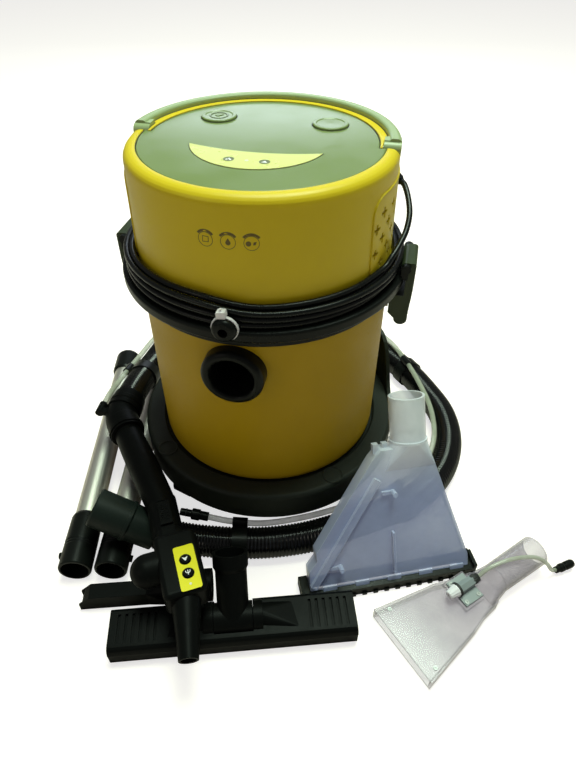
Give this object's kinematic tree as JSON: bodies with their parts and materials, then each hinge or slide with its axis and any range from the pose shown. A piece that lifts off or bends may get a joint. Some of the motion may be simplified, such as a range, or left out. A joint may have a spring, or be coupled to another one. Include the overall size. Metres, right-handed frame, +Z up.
{
  "type": "carpet cleaner machine",
  "caption": "Drum carpet cleaner on casters with a lift-off motor head, suction hose, spray gun, extension tubes, floor nozzle and clear spray nozzles.",
  "frame": {"origin": "on the floor, under the drum's upright axis", "axes": "+Z up; -Y out of the suction inlet, the machine's front; +X to the machine's left side, which is the viewer's right"},
  "size_m": [0.7548, 0.7116, 0.486],
  "materials": {
    "yellow_shell": "satin yellow moulding",
    "base_plastic": "dark green-grey moulding, fine grain",
    "black_plastic": "satin black moulding",
    "caster_plastic": "black moulding",
    "wheel_rubber": "dark grey tread",
    "green_panel": "satin sage green",
    "lime_strip": "smooth pale yellow green",
    "white_plastic": "natural white moulding",
    "seal_rubber": "soft black",
    "foam": "open-cell foam",
    "motor_steel": "bare steel and pressed metal",
    "circuit_board": "green board",
    "hose_plastic": "corrugated black hose with glints on its ribs",
    "clear_tube": "clear soft tube, slightly yellow",
    "cord_sheath": "black sheath",
    "plug_rubber": "moulded black plug",
    "tube_aluminium": "brushed tube",
    "milky_clear": "milky clear moulding",
    "clear_acrylic": "clear moulding",
    "valve_grey": "grey valve with a white knob"
  },
  "bodies": {
    "machine": {"tank": "yellow_shell", "base_ring": "base_plastic", "suction_inlet": "black_plastic", "clean_water_container": "white_plastic", "suction_hose": "hose_plastic", "hose_cuff": "black_plastic", "water_tube": "clear_tube", "hose_fittings": "black_plastic", "gun_body": "black_plastic"},
    "head": {"head_shell": "yellow_shell", "vent_grilles": "yellow_shell", "clamp_band": "black_plastic", "seals": "seal_rubber", "top_panel": "green_panel", "crescent_panel": "lime_strip", "motor_plate": "black_plastic", "motor": "motor_steel", "fan_cover": "motor_steel", "float_cage": "white_plastic", "foam_filter": "foam", "water_pump": "white_plastic", "control_board": "circuit_board", "pivot_pins": "motor_steel", "water_outlet": "black_plastic", "cord_gland": "black_plastic", "power_cord_winding": "cord_sheath", "power_cord_ends": "cord_sheath", "power_plug": "plug_rubber"},
    "left_tube": {"left_tube": "tube_aluminium", "left_tube_sleeves": "black_plastic"},
    "right_tube": {"right_tube": "tube_aluminium", "right_tube_sleeves": "black_plastic"},
    "carpet_nozzle": {"carpet_nozzle": "milky_clear", "carpet_nozzle_foot": "black_plastic"},
    "upholstery_nozzle": {"upholstery_nozzle": "clear_acrylic", "spray_valve": "valve_grey", "spray_tube": "clear_tube", "quick_connector": "black_plastic"},
    "carry_handle": {"carry_handle": "green_panel"},
    "latch_left": {"latch_left": "black_plastic"},
    "latch_right": {"latch_right": "black_plastic"},
    "power_button": {"power_button": "green_panel"},
    "pump_button": {"pump_button": "green_panel"},
    "fan_rotor": {"fan_rotor": "motor_steel"},
    "float_ball": {"float_ball": "white_plastic"},
    "swivel_collar": {"swivel_collar": "black_plastic"},
    "gun_vacuum_button": {"gun_vacuum_button": "black_plastic"},
    "gun_water_button": {"gun_water_button": "black_plastic"},
    "air_slider": {"air_slider": "black_plastic"},
    "crevice_tool": {"crevice_tool": "black_plastic"},
    "floor_nozzle": {"floor_nozzle": "black_plastic"},
    "floor_nozzle_neck": {"floor_nozzle_neck": "black_plastic"},
    "caster_fork_front_left": {"caster_fork_front_left": "caster_plastic"},
    "caster_wheels_front_left": {"caster_wheels_front_left": "wheel_rubber"},
    "caster_fork_front_right": {"caster_fork_front_right": "caster_plastic"},
    "caster_wheels_front_right": {"caster_wheels_front_right": "wheel_rubber"},
    "caster_fork_rear_left": {"caster_fork_rear_left": "caster_plastic"},
    "caster_wheels_rear_left": {"caster_wheels_rear_left": "wheel_rubber"},
    "caster_fork_rear_right": {"caster_fork_rear_right": "caster_plastic"},
    "caster_wheels_rear_right": {"caster_wheels_rear_right": "wheel_rubber"}
  },
  "joints": [
    {"name": "head_lift", "type": "slide", "parent": "machine", "child": "head", "axis": [0, 0, 1], "range_m": [0, 0.25]},
    {"name": "handle_swing", "type": "hinge", "parent": "head", "child": "carry_handle", "pos_m": [0, 0.008, 0.476], "axis": [1, 0, 0], "range_deg": [0, 90]},
    {"name": "latch_left_swing", "type": "hinge", "parent": "head", "child": "latch_left", "pos_m": [-0.168, 0, 0.358], "axis": [0, 1, 0], "range_deg": [0, 75]},
    {"name": "latch_right_swing", "type": "hinge", "parent": "head", "child": "latch_right", "pos_m": [0.168, 0, 0.358], "axis": [0, -1, 0], "range_deg": [0, 75]},
    {"name": "power_button_press", "type": "slide", "parent": "head", "child": "power_button", "axis": [0, 0, -1], "range_m": [0, 0.0025], "stiffness_N_per_m": 600},
    {"name": "pump_button_press", "type": "slide", "parent": "head", "child": "pump_button", "axis": [0, 0, -1], "range_m": [0, 0.0025], "stiffness_N_per_m": 600},
    {"name": "fan_spin", "type": "hinge", "parent": "head", "child": "fan_rotor", "pos_m": [0, 0, 0.35], "axis": [0, 0, 1], "continuous": true},
    {"name": "float_rise", "type": "slide", "parent": "head", "child": "float_ball", "axis": [0, 0, 1], "range_m": [0, 0.03]},
    {"name": "caster_swivel_front_left", "type": "hinge", "parent": "machine", "child": "caster_fork_front_left", "pos_m": [-0.09002, -0.09654, 0.06], "axis": [0, 0, 1], "continuous": true},
    {"name": "caster_roll_front_left", "type": "hinge", "parent": "caster_fork_front_left", "child": "caster_wheels_front_left", "pos_m": [-0.09373, -0.10795, 0.021], "axis": [0.9511, -0.309, 0], "continuous": true},
    {"name": "caster_swivel_front_right", "type": "hinge", "parent": "machine", "child": "caster_fork_front_right", "pos_m": [0.09002, -0.09654, 0.06], "axis": [0, 0, 1], "continuous": true},
    {"name": "caster_roll_front_right", "type": "hinge", "parent": "caster_fork_front_right", "child": "caster_wheels_front_right", "pos_m": [0.07933, -0.09109, 0.021], "axis": [-0.454, -0.891, 0], "continuous": true},
    {"name": "caster_swivel_rear_left", "type": "hinge", "parent": "machine", "child": "caster_fork_rear_left", "pos_m": [-0.09002, 0.09654, 0.06], "axis": [0, 0, 1], "continuous": true},
    {"name": "caster_roll_rear_left", "type": "hinge", "parent": "caster_fork_rear_left", "child": "caster_wheels_rear_left", "pos_m": [-0.10107, 0.09185, 0.021], "axis": [0.3907, -0.9205, 0], "continuous": true},
    {"name": "caster_swivel_rear_right", "type": "hinge", "parent": "machine", "child": "caster_fork_rear_right", "pos_m": [0.09002, 0.09654, 0.06], "axis": [0, 0, 1], "continuous": true},
    {"name": "caster_roll_rear_right", "type": "hinge", "parent": "caster_fork_rear_right", "child": "caster_wheels_rear_right", "pos_m": [0.08533, 0.08549, 0.021], "axis": [0.9205, -0.3907, 0], "continuous": true},
    {"name": "hose_swivel", "type": "hinge", "parent": "machine", "child": "swivel_collar", "pos_m": [-0.20883, -0.05936, 0.088], "axis": [-0.0785, 0.9969, 0], "continuous": true},
    {"name": "gun_vacuum_press", "type": "slide", "parent": "machine", "child": "gun_vacuum_button", "axis": [0, 0, -1], "range_m": [0, 0.002], "stiffness_N_per_m": 400},
    {"name": "gun_water_press", "type": "slide", "parent": "machine", "child": "gun_water_button", "axis": [0, 0, -1], "range_m": [0, 0.002], "stiffness_N_per_m": 400},
    {"name": "air_slide", "type": "slide", "parent": "machine", "child": "air_slider", "axis": [0.5075, -0.8616, 0], "range_m": [0, 0.012]},
    {"name": "left_tube_away", "type": "slide", "parent": "machine", "child": "left_tube", "axis": [-0.2419, 0.9703, 0], "range_m": [0, 0.1]},
    {"name": "right_tube_away", "type": "slide", "parent": "machine", "child": "right_tube", "axis": [-0.1994, 0.9799, 0], "range_m": [0, 0.1]},
    {"name": "crevice_tool_away", "type": "slide", "parent": "machine", "child": "crevice_tool", "axis": [-0.9588, -0.284, 0], "range_m": [0, 0.42]},
    {"name": "floor_nozzle_away", "type": "slide", "parent": "machine", "child": "floor_nozzle", "axis": [0.36, -0.933, 0], "range_m": [0, 0.15]},
    {"name": "floor_nozzle_tilt", "type": "hinge", "parent": "floor_nozzle", "child": "floor_nozzle_neck", "pos_m": [0.02583, -0.30118, 0.027], "axis": [0.9563, 0.2924, 0], "range_deg": [-20, 38]},
    {"name": "carpet_nozzle_lift", "type": "slide", "parent": "machine", "child": "carpet_nozzle", "axis": [0, 0, 1], "range_m": [0, 0.25]},
    {"name": "upholstery_nozzle_lift", "type": "slide", "parent": "machine", "child": "upholstery_nozzle", "axis": [0, 0, 1], "range_m": [0, 0.2]}
  ]
}
